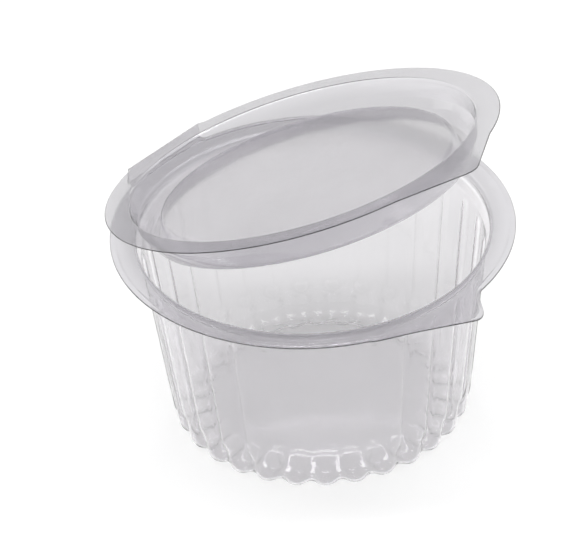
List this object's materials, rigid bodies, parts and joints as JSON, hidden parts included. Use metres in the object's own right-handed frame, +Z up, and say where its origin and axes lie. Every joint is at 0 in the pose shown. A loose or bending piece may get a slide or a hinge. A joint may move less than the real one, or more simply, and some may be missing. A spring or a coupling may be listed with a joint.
{
  "type": "hinged-lid food container",
  "caption": "Clear round food container with a fluted wall, a scalloped foot, a wide flange with a pull tab, and an attached plug lid on a folded crease.",
  "frame": {"origin": "centre of the base, on the surface that the bowl stands on", "axes": "+Z up, -Y towards the tabs at the front, +Y towards the crease at the back"},
  "size_m": [0.15, 0.1598, 0.1356],
  "materials": {
    "clear_sheet": "clear glossy formed sheet"
  },
  "bodies": {
    "bowl": {"bowl": "clear_sheet"},
    "lid": {"lid": "clear_sheet"}
  },
  "joints": [
    {"name": "lid_hinge", "type": "hinge", "parent": "bowl", "child": "lid", "pos_m": [0, 0.0743, 0.0865], "axis": [-1, 0, 0], "range_deg": [-18, 162]}
  ]
}
